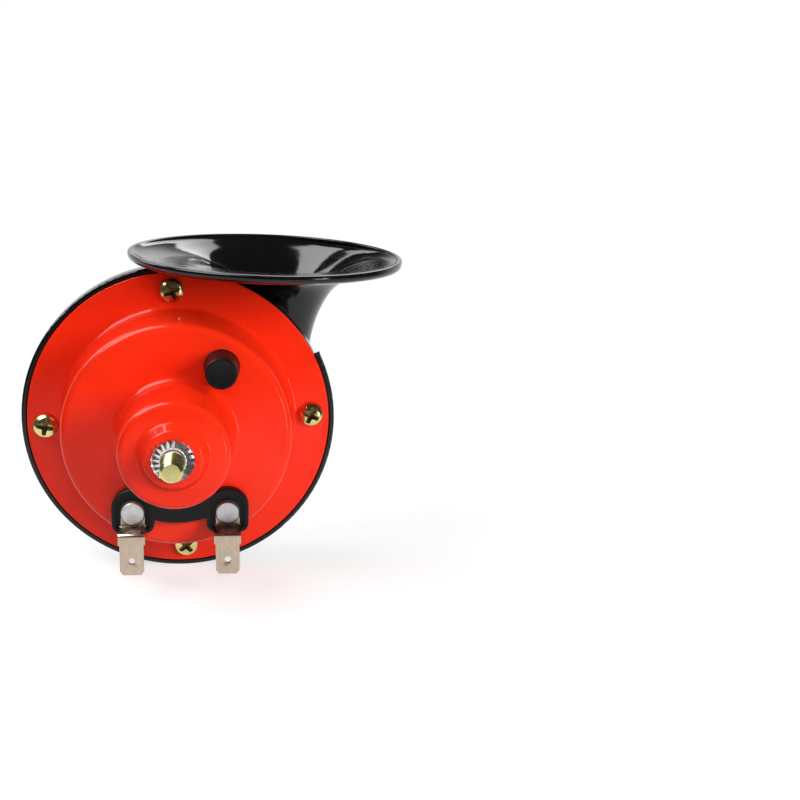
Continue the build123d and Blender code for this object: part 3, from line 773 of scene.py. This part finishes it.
NYLON = Board("moulded_nylon", "natural_nylon", (0.70, 0.66, 0.56), (0.78, 0.75, 0.66), 0.5)
FINISHES = (
    ENAMEL, SNAIL, DULL, RUBBER, GOLD_ZINC, BRIGHT_ZINC, NICKEL, TINNED,
    SPRING_STEEL, BRASS, BRONZE, TUNGSTEN, COPPER, FIBRE, PAPER, NYLON,
)


def show(mesh: Mesh, name: str, finish: Finish, node: str) -> None:
    """Puts a made piece into the scene in place of its CAD node.

    Args:
        mesh: The piece's mesh, in its place.
        name: The piece's name.
        finish: Its finish.
        node: The CAD node that it stands for.
    """
    mesh.name = name
    if not mesh.materials:
        mesh.materials.append(finish.material())
    piece = placed(name, mesh)
    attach(piece, BODY)
    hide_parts(node)
    LOG.info("%s: %d faces, %s", name, len(mesh.polygons), finish.title)


# ---- sub-assemblies
@dataclass
class PressedCover:
    """The red steel pressing: pad, boss, drum and flange, turned from one section line."""

    seat: float = 1.9
    boss_face: float = 4.9
    drum_face: float = 23.1
    flange_face: float = 40.4
    sheet: float = 1.0
    hole_r: float = 3.25
    pad_r: Pair = (7.4, 9.2)
    boss_r: Pair = (14.4, 15.2)
    drum_r: Pair = (30.6, 31.4)
    flange_r: float = 41.4
    rounds: tuple[float, ...] = (1.0, 1.1, 1.8, 2.2, 2.0, 1.4)
    edge: float = 0.22
    segments: int = 384
    corner_steps: int = 9

    def side(self, inset: float) -> list[Pair]:
        """One side of the sheet, from the stud's hole to the flange's edge."""
        return [
            (self.hole_r, self.seat + inset), (self.pad_r[0] - inset / 2, self.seat + inset),
            (self.pad_r[1] - inset / 2, self.boss_face + inset),
            (self.boss_r[0] - inset, self.boss_face + inset),
            (self.boss_r[1] - inset, self.drum_face + inset),
            (self.drum_r[0] - inset, self.drum_face + inset),
            (self.drum_r[1] - inset, self.flange_face + inset),
            (self.flange_r, self.flange_face + inset),
        ]

    def section(self) -> Mesh:
        """Draws the sheet's closed section line, with the radius of each corner on it.

        Returns:
            A mesh of edges that starts at X = 0.
        """
        pad_edge, pad_foot, boss, boss_foot, drum, drum_foot = self.rounds
        sheet = self.sheet
        bends = (boss - sheet, boss_foot + sheet, drum - sheet, drum_foot + sheet)
        radii = [self.edge, *self.rounds, self.edge]
        radii += [self.edge, pad_edge, pad_foot, *bends, self.edge][::-1]
        points = self.side(0.0) + self.side(sheet)[::-1]
        corners = [((r - self.hole_r) * MM, y * MM, 0.0) for r, y in points]
        line = bpy.data.meshes.new("cover_section")
        line.from_pydata(corners, [(i, (i + 1) % len(corners)) for i in range(len(corners))], [])
        bend = line.attributes.new("bend", "FLOAT", "POINT")
        for index, radius in enumerate(radii):
            bend.data[index].value = radius * MM
        return line

    def recipe(self) -> Recipe:
        """Writes the tree that rounds a closed section line and sweeps it round the stud.

        Returns:
            The tree.
        """
        tree = Recipe("turned_pressing", ring_radius="Float", segments="Int", corner_steps="Int")
        line = tree.out("GeometryNodeMeshToCurve", {"Mesh": tree.want("base")})
        bend = tree.out("GeometryNodeInputNamedAttribute", {"Name": "bend"}, data_type="FLOAT")
        inputs = {"Curve": line, "Count": tree.want("corner_steps"), "Radius": bend}
        filleted = tree.out("GeometryNodeFilletCurve", inputs, mode="POLY")
        inputs = {"Resolution": tree.want("segments"), "Radius": tree.want("ring_radius")}
        ring = tree.out("GeometryNodeCurvePrimitiveCircle", inputs, mode="RADIUS")
        swept = tree.out("GeometryNodeCurveToMesh", {"Curve": ring, "Profile Curve": filleted})
        turn = (math.pi / 2, 0.0, 0.0)
        tree.close(tree.out("GeometryNodeTransform", {"Geometry": swept, "Rotation": turn}))
        return tree

    def build(self) -> None:
        """Makes the cover and puts it in place."""
        mesh = self.recipe().make(
            self.section(), ENAMEL.material(), ring_radius=self.hole_r * MM,
            segments=self.segments, corner_steps=self.corner_steps,
        )
        show(tidy(mesh, 60), "pressed_cover", ENAMEL, "metal_cover")


@dataclass
class CoverScrews:
    """Four pan-head cross-recess screws, each stopped at its own angle."""

    circle_r: float = 36.4
    start: float = 2.2
    count: int = 4
    first_turn: float = 25.0
    next_turn: float = 38.0
    head_r: float = 3.5
    head: float = 2.3
    crown_powers: Pair = (3.1, 2.4)
    seat: float = 40.4
    shank_r: float = 1.9
    length: float = 9.5
    wing: float = 1.22
    wing_taper: Pair = (1.12, 0.35)
    core: float = 0.78
    span: float = 4.5
    recess: float = 1.6
    rise: float = 0.50
    slope: float = 0.16
    segments: int = 128
    rings: int = 54
    ring_power: float = 0.9

    def crown(self, radius: float) -> float:
        """Height of the plain head over its seat at a radius."""
        inner, outer = self.crown_powers
        return self.head * (1 - min(radius / self.head_r, 1.0) ** inner) ** (1 / outer)

    def cut(self, x: float, z: float) -> float:
        """Finds the depth of the cross recess.

        Args:
            x: Sideways place on the head in mm.
            z: Upright place on the head in mm.

        Returns:
            The depth in mm.
        """
        radius, reach = math.hypot(x, z), self.span / 2
        width = self.wing / 2 * (self.wing_taper[0] - self.wing_taper[1] * radius / reach)
        level = max(abs(x) - width, abs(z) - reach)
        upright = max(abs(z) - width, abs(x) - reach)
        away = min(level, upright, radius - self.wing * self.core)
        wall = max(0.0, min(1.0, 0.5 - away / self.slope))
        floor = self.recess * (1 - self.rise * min(radius / reach, 1.0))
        return floor * wall * wall * (3 - 2 * wall)

    def pattern(self) -> Mesh:
        """Makes one screw with its head on the plane Y = 0 and its axis on Y.

        Returns:
            The screw, with a layer for the painted shade in its cross recess.
        """
        work = bmesh.new()
        shade_paint = work.verts.layers.float.new("shade_paint")
        rings = []
        for index in range(self.rings + 1):
            radius = self.head_r * math.sin(math.pi / 2 * index / self.rings) ** self.ring_power
            ring = []
            for x, z in circle(radius, self.segments):
                depth = self.cut(x, z) - self.crown(radius)
                ring.append(work.verts.new((x * MM, depth * MM, z * MM)))
            rings.append(ring)
        # Painted shade: 1 at the recess's floor, 0 on the plain head, so the recess is drawn dark.
        for vertex in work.verts:
            vertex[shade_paint] = self.cut(vertex.co.x / MM, vertex.co.z / MM) / self.recess
        shank = circle(self.shank_r, self.segments)
        rings += [ring_at(work, depth, shank) for depth in (0.0, self.length)]
        bridge(work, rings)
        work.faces.new(rings[-1])
        return tidy(finished(work, "screw_pattern"), 50)

    def build(self) -> None:
        """Copies the screw to its four places."""
        spots = []
        for index in range(self.count):
            angle = math.radians(self.start + 360 * index / self.count)
            x, z = self.circle_r * math.cos(angle), self.circle_r * math.sin(angle)
            spots.append((x, self.seat, z, self.first_turn + self.next_turn * index))
        mesh = copied(self.pattern(), spots, GOLD_ZINC)
        show(tidy(mesh, 50), "cover_screw_set", GOLD_ZINC, "cover_screws")


@cache
def copy_recipe() -> Recipe:
    """Writes the tree that copies a pattern to each point, turned about Y by its own angle.

    Returns:
        The tree.
    """
    tree = Recipe("set_of_copies", pattern="Object")
    wanted = {"Object": tree.want("pattern")}
    source = tree.add("GeometryNodeObjectInfo", wanted, transform_space="ORIGINAL")
    turn = tree.out("GeometryNodeInputNamedAttribute", {"Name": "turn"}, data_type="FLOAT")
    inputs = {
        "Points": tree.want("base"),
        "Instance": tree.read(source, "Geometry"),
        "Rotation": tree.out("FunctionNodeEulerToRotation", {0: tree.corner(0.0, turn, 0.0)}),
    }
    tree.close(tree.out("GeometryNodeInstanceOnPoints", inputs))
    return tree


def copied(pattern: Mesh, spots: Sequence[tuple[float, ...]], finish: Finish) -> Mesh:
    """Runs the copying tree.

    Args:
        pattern: The mesh to copy.
        spots: X, Y and Z in mm and the turn in degrees of each copy.
        finish: The finish of the copies.

    Returns:
        One plain mesh with all the copies.
    """
    source = placed("pattern", pattern)
    points = bpy.data.meshes.new("spots")
    points.from_pydata([(x * MM, y * MM, z * MM) for x, y, z, _ in spots], [], [])
    turn = points.attributes.new("turn", "FLOAT", "POINT")
    for index, spot in enumerate(spots):
        turn.data[index].value = math.radians(spot[3])
    mesh = copy_recipe().make(points, finish.material(), pattern=source)
    bpy.data.objects.remove(source)
    return mesh


@dataclass
class StudAndWasher:
    """The threaded stud, one piece with the magnet core behind it, and its star washer."""

    tip: float = -8.8
    thread_r: float = 2.95
    root_r: float = 2.46
    pitch: float = 1.0
    valley: float = 0.12
    flank: float = 0.76
    chamfer: float = 0.75
    run_out: float = 1.2
    thread_grid: tuple[int, int] = (97, 221)
    tuck: float = 0.1
    neck_start: Pair = (-0.3, 0.1)
    neck_r: float = 2.5
    cover: Pair = (2.9, 5.9)
    collar_r: float = 6.0
    core_r: float = 5.0
    pole: float = 31.9
    washer_r: float = 5.4
    washer_bore: float = 3.15
    washer_band: float = 0.42
    washer_sheet: float = 0.45
    washer_middle: float = 1.022
    washer_edge: float = 0.08
    washer_segments: int = 128
    teeth: int = 20
    tooth_root: float = 0.55
    tooth_width: Pair = (1.06, 2.02)
    tooth_end: float = 0.9
    tooth_twist: Pair = (14.0, 38.0)
    tooth_steps: int = 7

    def thread_recipe(self) -> Recipe:
        """Writes the tree that rolls a fine grid into a bar whose radius follows a helix.

        Returns:
            The tree.
        """
        sizes = dict.fromkeys(("length", "pitch", "crest", "root", "chamfer", "start"), "Float")
        tree = Recipe("rolled_thread", **sizes, around="Int", along="Int")
        length, crest, root = (tree.want(name) for name in ("length", "crest", "root"))
        counts = {"Vertices X": tree.want("around"), "Vertices Y": tree.want("along")}
        grid = tree.out("GeometryNodeMeshGrid", {"Size X": 1.0, "Size Y": 1.0, **counts})
        place = tree.add("ShaderNodeSeparateXYZ", {0: tree.out("GeometryNodeInputPosition")})
        around = tree.read(place, 0) + 0.5
        along = tree.read(place, 1) + 0.5
        reach = along * length
        phase = reach / tree.want("pitch") - around
        wave = 1 - abs(tree.maths("FRACT", phase) * 2.0 - 1.0)
        radius = root + (crest - root) * ((wave - self.valley) / self.flank).high(0.0).low(1.0)
        radius = radius.low(crest - tree.want("chamfer") + reach)
        radius = radius.low(root + (length - reach) * self.run_out)
        radius = radius * (along > 0.0001) * (along < 0.9999)
        angle = around * TURN
        spot = tree.corner(
            radius * tree.maths("COSINE", angle),
            tree.want("start") + reach,
            radius * tree.maths("SINE", angle),
        )
        tree.close(tree.out("GeometryNodeSetPosition", {"Geometry": grid, "Position": spot}))
        return tree

    def stud(self) -> Mesh:
        """Makes the whole stud: thread, neck, collar and core.

        Returns:
            The stud's mesh.
        """
        thread = self.thread_recipe().make(
            bpy.data.meshes.new("nothing"), GOLD_ZINC.material(),
            length=-self.tip * MM, pitch=self.pitch * MM, crest=self.thread_r * MM,
            root=self.root_r * MM, chamfer=self.chamfer * MM, start=self.tip * MM,
            around=self.thread_grid[0], along=self.thread_grid[1],
        )
        inner, outer = self.neck_start
        front, back = self.cover
        rear = [
            (0.0, inner), (self.root_r - self.tuck, inner), (self.neck_r, outer),
            (self.neck_r, front), (self.collar_r, front), (self.collar_r, back),
            (self.core_r, back), (self.core_r, self.pole), (0.0, self.pole),
        ]
        return joined(tidy(thread, 38), lathe(rear, 64), "stud")

    def tooth(self) -> Mesh:
        """Makes one tooth along X, twisting more and more out of the washer's plane.

        Returns:
            The tooth's mesh.
        """
        root = self.washer_bore + self.washer_band * self.tooth_root
        work = bmesh.new()
        rows = []
        for step in range(self.tooth_steps + 1):
            share = step / self.tooth_steps
            width, twist = (
                start + (end - start) * share for start, end in (self.tooth_width, self.tooth_twist)
            )
            if step == self.tooth_steps:
                width *= self.tooth_end
            angle = math.radians(twist)
            x = root + (self.washer_r - root) * share
            row = []
            for side, face in ((-1, -1), (1, -1), (1, 1), (-1, 1)):
                across, through = side * width / 2, face * self.washer_sheet / 2
                z = across * math.cos(angle) - through * math.sin(angle)
                y = across * math.sin(angle) + through * math.cos(angle)
                row.append(work.verts.new((x * MM, y * MM, z * MM)))
            rows.append(row)
        work.faces.new(rows[0])
        bridge(work, rows)
        work.faces.new(rows[-1][::-1])
        return tidy(finished(work, "tooth"), 40)

    def band(self) -> Mesh:
        """Makes the washer's flat ring, its edges broken.

        Returns:
            The ring's mesh.
        """
        inner, outer = self.washer_bore, self.washer_bore + self.washer_band
        half, edge = self.washer_sheet / 2, self.washer_edge
        front, back = self.washer_middle - half, self.washer_middle + half
        corners = (
            (inner + edge, front), (outer - edge, front), (outer, front + edge),
            (outer, back - edge), (outer - edge, back), (inner + edge, back),
            (inner, back - edge), (inner, front + edge),
        )
        work = bmesh.new()
        rows = [
            [work.verts.new((r * x * MM, y * MM, r * z * MM)) for r, y in corners]
            for x, z in circle(1.0, self.washer_segments)
        ]
        bridge(work, [*rows, rows[0]])
        return tidy(finished(work, "ring"))

    def build(self) -> None:
        """Makes the stud and the washer."""
        show(self.stud(), "threaded_stud", GOLD_ZINC, "mounting_stud")
        spots = [(0.0, self.washer_middle, 0.0, 360 * i / self.teeth) for i in range(self.teeth)]
        teeth = tidy(copied(self.tooth(), spots, BRIGHT_ZINC), 40)
        washer = joined(teeth, self.band(), "washer")
        show(washer, "star_lock_washer", BRIGHT_ZINC, "star_washer")


@dataclass
class Terminals:
    """Two folded spade blades on their rivets."""

    blades: tuple[str, str] = ("terminal_left", "terminal_right")
    centres: Pair = (-11.9, 13.3)
    rivet_z: float = -20.3
    head_front: float = 19.6
    head: float = 0.8
    head_r: float = 3.0
    head_edge: float = 0.25
    dimple: float = 0.05
    dimple_r: Pair = (1.15, 1.35)
    shank_r: float = 1.5
    inner_face: float = 25.3
    tail_r: float = 2.6
    break_edge: float = 0.09
    flat_angle: float = 1.0
    sharp_angle: float = 35.0

    def rivet(self) -> Mesh:
        """Makes one rivet with its head's front face on the plane Y = 0.

        Returns:
            The rivet's mesh.
        """
        back = self.inner_face - self.head_front
        outline = [
            (0.0, self.dimple), (self.dimple_r[0], self.dimple), (self.dimple_r[1], 0.0),
            (self.head_r, 0.0), (self.head_r, self.head), (self.shank_r, self.head),
            (self.shank_r, back), (self.tail_r, back), (self.tail_r, back + self.head),
            (0.0, back + self.head),
        ]
        radii = [0.0, 0.0, self.head_edge, 0.0, 0.0, 0.0, 0.0, self.head_edge]
        return lathe(rounded(outline, radii), 96)

    def softened(self, node: str) -> Mesh:
        """Copies a CAD node and breaks its sharp edges.

        Args:
            node: The node's name.

        Returns:
            The softened copy.
        """
        flat, limit = math.radians(self.flat_angle), math.radians(self.sharp_angle)
        work = bmesh.new()
        work.from_mesh(frame["nodes"][node].data)
        bmesh.ops.remove_doubles(work, verts=work.verts, dist=WELD)
        bmesh.ops.dissolve_limit(work, angle_limit=flat, verts=work.verts, edges=work.edges)
        sharp = [e for e in work.edges if len(e.link_faces) == 2 and e.calc_face_angle() > limit]
        bmesh.ops.bevel(
            work, geom=sharp, offset=self.break_edge * MM, offset_type="OFFSET", segments=2,
            profile=0.5, affect="EDGES", clamp_overlap=True,
        )
        return tidy(finished(work, node), 28)

    def build(self) -> None:
        """Makes both blades and both rivets."""
        for node in self.blades:
            show(self.softened(node), f"spade_{node}", NICKEL, node)
        spots = [(x, self.head_front, self.rivet_z, 0.0) for x in self.centres]
        mesh = copied(self.rivet(), spots, TINNED)
        show(tidy(mesh, 40), "rivet_pair", TINNED, "terminal_rivets")


@dataclass
class PitchCap:
    """The soft cap over the pitch screw, with the gate mark in the middle of its face.

    The face is a row of (radius, depth behind the front) in mm.
    """

    centre: Pair = (12.097, 19.21)
    foot: float = 23.1
    height: float = 8.7
    face: tuple[Pair, ...] = ((0.0, -0.02), (0.22, 0.0), (0.34, 0.16), (0.62, 0.22), (2.6, 0.14))
    face_edge: float = 0.55
    top_r: float = 4.15
    flare: Pair = (0.42, 1.5)
    lip: float = 1.15
    foot_r: float = 4.75
    bore_r: float = 2.55
    bore: float = 5.6
    rounds: tuple[float, ...] = (0.08, 0.08, 0.1, 1.0, 0.3, 0.42, 0.3, 0.25, 0.3, 0.1, 0.0)

    def build(self) -> None:
        """Turns the cap and puts it in place."""
        front = self.foot - self.height
        outline = [(radius, front + depth) for radius, depth in self.face]
        outline += [
            (self.top_r - self.face_edge, front), (self.top_r, front),
            (self.top_r + self.flare[0], self.foot - self.flare[1]),
            (self.foot_r, self.foot - self.lip), (self.foot_r, self.foot),
            (self.bore_r, self.foot), (self.bore_r, self.foot - self.bore),
            (0.0, self.foot - self.bore),
        ]
        mesh = lathe(rounded(outline, self.rounds, 6), 128, self.centre)
        show(mesh, "pitch_screw_cap", RUBBER, "adjuster_cap")


class CarriedNodes:
    """The CAD nodes that keep their shape and get their finish here."""

    def build(self) -> None:
        """Gives each node the finish of its slot."""
        by_slot = {finish.slot: finish for finish in FINISHES}
        slots = {part["node"]: part["material_slot"] for part in frame["record"]["subparts"]}
        for name, piece in frame["nodes"].items():
            finish = POLISHED if name == "throat_plate" else by_slot[slots[name]]
            piece.data.materials.clear()
            piece.data.materials.append(finish.material())
            LOG.info("%s: %s", name, finish.title)


# ---- studio
class Task(Enum):
    """What a lamp does, as (lights the horn, is mirrored in it)."""

    BOTH = (True, True)
    LIGHT = (True, False)
    SHEEN = (False, True)


@dataclass(frozen=True)
class Softbox:
    """One soft lamp, placed on a ball round the horn and aimed at its middle.

    Its place is given by two angles in degrees: round the stud from +X towards +Z, and
    the slant away from the stud's own direction.
    """

    title: str
    around: float
    slant: float
    size: Pair
    radiance: float
    task: Task = Task.BOTH
    reach: float = 600.0
    aim: Triple = (8.0, 30.0, 0.0)

    def build(self) -> None:
        """Puts the lamp into the scene."""
        lamp = bpy.data.lights.new(self.title, "AREA")
        lamp.shape = "RECTANGLE"
        lamp.size, lamp.size_y = (side * MM for side in self.size)
        lamp.energy = self.radiance * math.pi * lamp.size * lamp.size_y
        holder = placed(self.title, lamp)
        holder.visible_diffuse, holder.visible_glossy = self.task.value
        around, slant = math.radians(self.around), math.radians(self.slant)
        out = math.sin(slant)
        way = Vector((out * math.cos(around), -math.cos(slant), out * math.sin(around)))
        place = (Vector(self.aim) + way * self.reach) * MM
        turn = (-way).to_track_quat("-Z", "Y").to_matrix().to_4x4()
        holder.matrix_world = Matrix.Translation(place) @ turn


@dataclass
class Studio:
    """Camera, lamps, pale floor and white surroundings."""

    lens: float = 64.016
    sensor: float = 36.0
    eye: Triple = (17.68, -344.464, 106.344)
    right: Triple = (0.99398434, -0.10715466, 0.02264993)
    up: Triple = (0.00527692, 0.2534224, 0.96734133)
    floor_y: float = 30.0
    floor_z: float = -43.0
    floor_r: float = 400.0
    floor_fade: Pair = (110.0, 330.0)
    floor_tone: float = 0.46
    floor_glow: float = 0.64
    backdrop_behind: Pair = (0.2, 0.7)
    backdrop_above: Pair = (0.15, 0.45)
    ambient: float = 0.04
    room: float = 0.06
    lamps: tuple[Softbox, ...] = (
        Softbox("key_box", 22.0, 50.0, (210.0, 280.0), 16.0, Task.LIGHT),
        Softbox("side_sheen", -8.0, 46.0, (120.0, 160.0), 9.0, Task.SHEEN),
        Softbox("top_box", 122.0, 76.0, (380.0, 420.0), 4.2, Task.LIGHT),
        Softbox("top_sheen", 122.0, 76.0, (380.0, 420.0), 10.5, Task.SHEEN, 580.0),
        Softbox("rim_box", 70.0, 140.0, (180.0, 300.0), 4.0),
        Softbox("front_box", 75.0, 25.0, (200.0, 200.0), 5.5, Task.LIGHT),
        Softbox("back_box", 140.0, 116.0, (280.0, 280.0), 6.0),
    )

    def camera(self) -> None:
        """Sets up the camera from its own axes."""
        data = bpy.data.cameras.new("camera")
        data.lens, data.sensor_width, data.clip_start = self.lens, self.sensor, 0.01
        holder = placed("camera", data)
        right, up = Vector(self.right), Vector(self.up)
        turn = Matrix((right, up, right.cross(up))).transposed().to_4x4()
        holder.matrix_world = Matrix.Translation(Vector(self.eye) * MM) @ turn
        bpy.context.scene.camera = holder

    def world(self) -> None:
        """White to the eye; mirrored, a white backdrop with a dim room in front and above."""
        world = bpy.data.worlds.new("surroundings")
        world.use_nodes = True
        bpy.context.scene.world = world
        graph = Graph(world.node_tree)
        graph.tree.nodes.clear()
        path = graph.add("ShaderNodeLightPath")
        way = graph.add("ShaderNodeTexCoord").outputs["Generated"]
        axes = graph.add("ShaderNodeSeparateXYZ", {0: way})
        behind = graph.read(axes, 1).ramp(*self.backdrop_behind)
        backdrop = behind * (1 - graph.read(axes, 2).ramp(*self.backdrop_above))
        mirrored = self.room + backdrop * (1 - self.room)
        camera = graph.read(path, "Is Camera Ray")
        glossy = graph.read(path, "Is Glossy Ray").high(graph.read(path, "Is Transmission Ray"))
        strength = camera + (1 - camera) * (glossy * mirrored + (1 - glossy) * self.ambient)
        sky = graph.out("ShaderNodeBackground", {"Color": (1.0, 1.0, 1.0), "Strength": strength})
        graph.add("ShaderNodeOutputWorld", {"Surface": sky})

    def floor_finish(self) -> Material:
        """Mixes the floor's finish, which fades into the white surroundings.

        Returns:
            The material.
        """
        shader = Shader("pale_floor")
        tooth = shader.noise(0.7, 3)
        path = shader.add("ShaderNodeLightPath")
        seen = shader.read(path, "Is Camera Ray").high(shader.read(path, "Is Glossy Ray"))
        seen = seen.high(shader.read(path, "Is Transmission Ray"))
        tone = (self.floor_tone,) * 3
        shader.dress(
            base_color=shader.blend(tooth, tone, dyed(tone, 0.985)),
            roughness=0.85,
            specular_ior_level=0.1,
            emission_color=shader.blend(seen, (0.0, 0.0, 0.0), (self.floor_glow,) * 3),
            emission_strength=1.0,
            normal=shader.relief(tooth, 0.01),
        )
        along = shader.y - self.floor_y
        away = (shader.x * shader.x + along * along) ** 0.5
        clear = shader.out("ShaderNodeBsdfTransparent")
        layers = {0: away.ramp(*self.floor_fade), 1: shader.surface.outputs[0], 2: clear}
        shader.feed(shader.end.inputs["Surface"], shader.out("ShaderNodeMixShader", layers))
        return shader.material

    def floor(self) -> None:
        """Lays a pale disc under the horn."""
        work = bmesh.new()
        middle = Matrix.Translation((0.0, self.floor_y * MM, self.floor_z * MM))
        reach = self.floor_r * MM
        bmesh.ops.create_circle(work, cap_ends=True, segments=96, radius=reach, matrix=middle)
        mesh = finished(work, "floor")
        mesh.materials.append(self.floor_finish())
        placed("floor", mesh)

    def build(self) -> None:
        """Sets up the whole studio."""
        self.camera()
        self.world()
        self.floor()
        for lamp in self.lamps:
            lamp.build()
        bpy.context.scene.view_settings.view_transform = "Standard"


def main() -> None:
    """Builds the studio and the horn."""
    logging.basicConfig(level=logging.INFO, format="%(name)s %(message)s")
    Studio().build()
    CarriedNodes().build()
    for assembly in (PressedCover, CoverScrews, StudAndWasher, Terminals, PitchCap):
        assembly().build()


if __name__ == "__main__":
    main()
